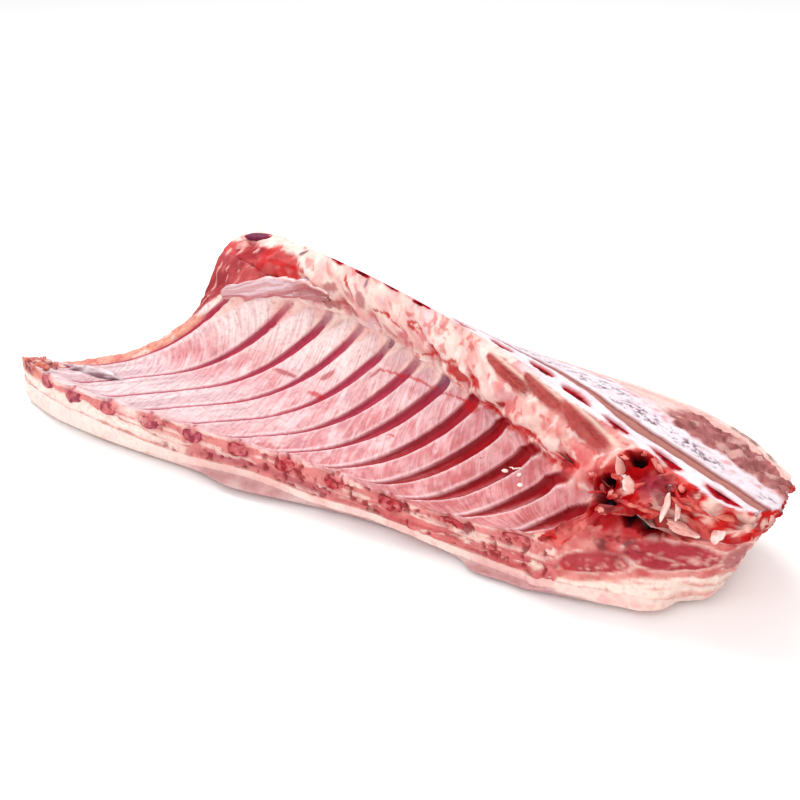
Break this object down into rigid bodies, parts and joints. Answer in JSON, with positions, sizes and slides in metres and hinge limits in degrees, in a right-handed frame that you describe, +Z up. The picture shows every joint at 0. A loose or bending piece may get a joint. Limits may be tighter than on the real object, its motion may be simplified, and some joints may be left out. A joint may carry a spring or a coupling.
{
  "type": "raw rack of lamb",
  "caption": "Raw split rib cage of lamb lying on its fat side, cavity up: curved ribs in lean meat, sawn half backbone along one edge, fat cover underneath.",
  "frame": {"origin": "on the table, under the middle of the piece's box", "axes": "+X along the spine towards the neck end, +Y towards the back, +Z up from the table, rib cavity up"},
  "size_m": [0.3949, 0.2277, 0.088],
  "materials": {
    "lean_meat": "moist raw lamb meat under a thin pale lilac membrane, darker red where it is cut",
    "fat": "cream to pale pink outer fat, waxy, with thin red streaks at the cuts",
    "rib_bone": "dark red rib showing through the membrane, porous dark red marrow at the sawn end",
    "sawn_bone": "sawn backbone, chalky white with speckled spongy bone, dark red marrow slots and cream fat on the cavity side"
  },
  "bodies": {
    "root": {"lean": "lean_meat", "fat_cover": "fat", "rib_01": "rib_bone", "rib_02": "rib_bone", "rib_03": "rib_bone", "rib_04": "rib_bone", "rib_05": "rib_bone", "rib_06": "rib_bone", "rib_07": "rib_bone", "rib_08": "rib_bone", "rib_09": "rib_bone", "rib_10": "rib_bone", "rib_11": "rib_bone", "rib_12": "rib_bone", "rib_13": "rib_bone", "vertebra_01": "sawn_bone", "vertebra_02": "sawn_bone", "vertebra_03": "sawn_bone", "vertebra_04": "sawn_bone", "vertebra_05": "sawn_bone", "vertebra_06": "sawn_bone", "vertebra_07": "sawn_bone", "vertebra_08": "sawn_bone", "vertebra_09": "sawn_bone", "vertebra_10": "sawn_bone", "vertebra_11": "sawn_bone", "vertebra_12": "sawn_bone", "vertebra_13": "sawn_bone", "vertebra_14": "sawn_bone"}
  },
  "joints": []
}
